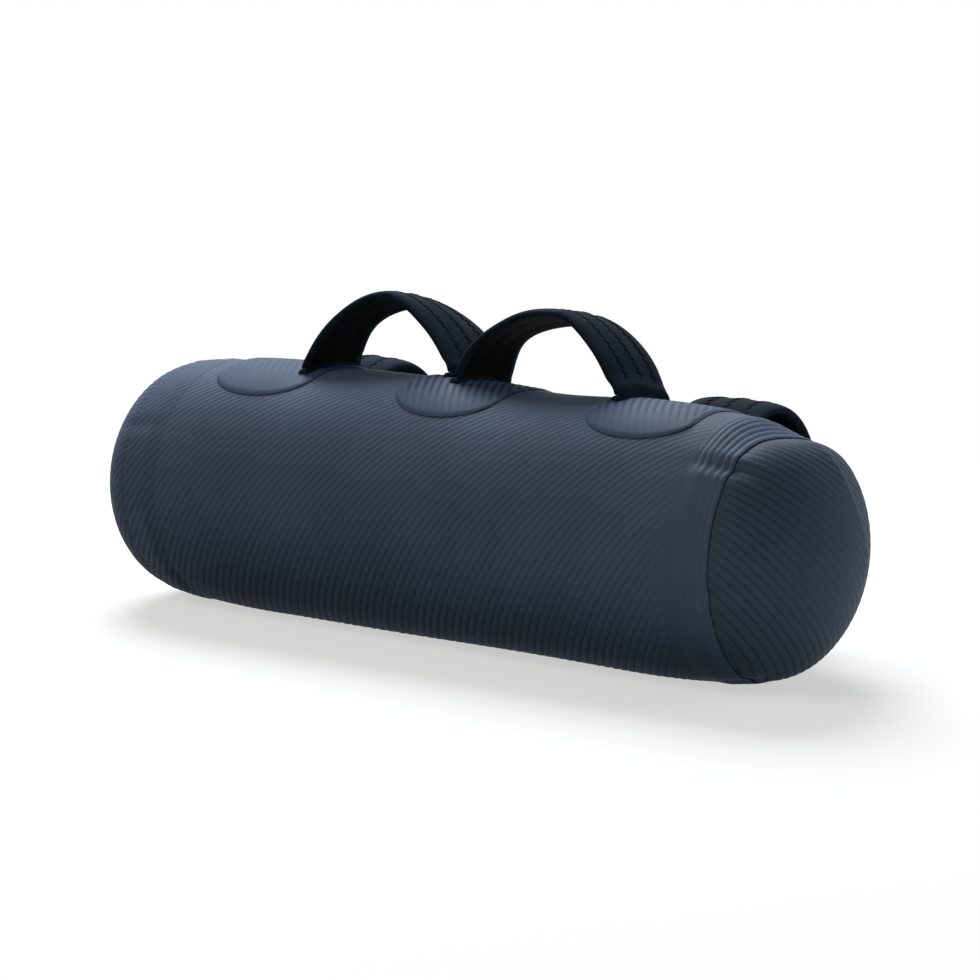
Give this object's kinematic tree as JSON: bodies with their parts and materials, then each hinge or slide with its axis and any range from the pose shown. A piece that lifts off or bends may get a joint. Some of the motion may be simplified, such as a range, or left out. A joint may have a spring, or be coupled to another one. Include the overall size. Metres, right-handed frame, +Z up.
{
  "type": "aqua training bag",
  "caption": "Water-filled training bag: a ribbed coated-fabric cylinder with domed ends, padded strap handles on top and at the back, and a capped filling valve in one end.",
  "frame": {"origin": "middle of the flat patch on the underside that the filled bag rests on", "axes": "+X along the bag to the end without the valve, +Y to the side that the end handles arch round, +Z up"},
  "size_m": [0.7016, 0.2713, 0.2719],
  "materials": {
    "barrel_fabric": "satin",
    "patch_fabric": "satin",
    "cap_fabric": "satin",
    "grip_foam": "matte",
    "webbing": "matte",
    "valve_plastic": "satin",
    "seal_rubber": "matte",
    "spring_steel": "satin",
    "water": "gloss"
  },
  "bodies": {
    "bag": {"barrel_wall": "barrel_fabric", "left_end_cap": "cap_fabric", "right_end_cap": "cap_fabric", "left_end_band": "patch_fabric", "right_end_band": "patch_fabric", "left_patch": "patch_fabric", "middle_patch": "patch_fabric", "right_patch": "patch_fabric", "water_fill": "water", "left_top_handle_left_foot": "webbing", "left_top_handle_right_foot": "webbing", "right_top_handle_left_foot": "webbing", "right_top_handle_right_foot": "webbing", "left_end_handle_upper_foot": "webbing", "left_end_handle_lower_foot": "webbing", "right_end_handle_upper_foot": "webbing", "right_end_handle_lower_foot": "webbing", "valve_base": "valve_plastic", "valve_gasket": "seal_rubber", "valve_nut": "valve_plastic", "valve_spring": "spring_steel"},
    "left_top_handle": {"left_top_handle_grip": "grip_foam", "left_top_handle_webbing": "webbing"},
    "right_top_handle": {"right_top_handle_grip": "grip_foam", "right_top_handle_webbing": "webbing"},
    "left_end_handle": {"left_end_handle_grip": "grip_foam", "left_end_handle_webbing": "webbing"},
    "right_end_handle": {"right_end_handle_grip": "grip_foam", "right_end_handle_webbing": "webbing"},
    "valve_plunger": {"valve_stem": "valve_plastic", "valve_poppet": "seal_rubber"},
    "valve_cap_carrier": {"valve_tether": "seal_rubber"},
    "valve_cap": {"valve_cap": "valve_plastic"}
  },
  "joints": [
    {"name": "left_top_handle_swing", "type": "hinge", "parent": "bag", "child": "left_top_handle", "pos_m": [-0.08825, 0.02444, 0.20732], "axis": [0.9719, 0.2293, -0.0529], "range_deg": [-16, 16], "stiffness_Nm_per_rad": 1.5, "deforming": ["left_top_handle_webbing"]},
    {"name": "right_top_handle_swing", "type": "hinge", "parent": "bag", "child": "right_top_handle", "pos_m": [0.07035, 0.02374, 0.20857], "axis": [0.9999, 0.0122, -0.0027], "range_deg": [-16, 16], "stiffness_Nm_per_rad": 1.5, "deforming": ["right_top_handle_webbing"]},
    {"name": "left_end_handle_swing", "type": "hinge", "parent": "bag", "child": "left_end_handle", "pos_m": [-0.185, 0.08797, 0.12836], "axis": [0, 0.2924, -0.9563], "range_deg": [-16, 16], "stiffness_Nm_per_rad": 1.5, "deforming": ["left_end_handle_webbing"]},
    {"name": "right_end_handle_swing", "type": "hinge", "parent": "bag", "child": "right_end_handle", "pos_m": [0.185, 0.08885, 0.12528], "axis": [0, 0.2588, -0.9659], "range_deg": [-16, 16], "stiffness_Nm_per_rad": 1.5, "deforming": ["right_end_handle_webbing"]},
    {"name": "valve_plunger_push", "type": "slide", "parent": "bag", "child": "valve_plunger", "axis": [1, 0, 0], "range_m": [0, 0.003], "stiffness_N_per_m": 150, "springref_m": -0.01, "deforming": ["valve_spring"]},
    {"name": "valve_cap_lift", "type": "slide", "parent": "bag", "child": "valve_cap_carrier", "axis": [-1, 0, 0], "range_m": [0, 0.008], "deforming": ["valve_tether"]},
    {"name": "valve_cap_turn", "type": "hinge", "parent": "valve_cap_carrier", "child": "valve_cap", "pos_m": [-0.3494, 0, 0.10147], "axis": [-1, 0, 0], "range_deg": [0, 720]}
  ],
  "couplings": [
    {"joint": "valve_cap_lift", "follows": "valve_cap_turn", "m_per_rad": 0.0006366}
  ]
}
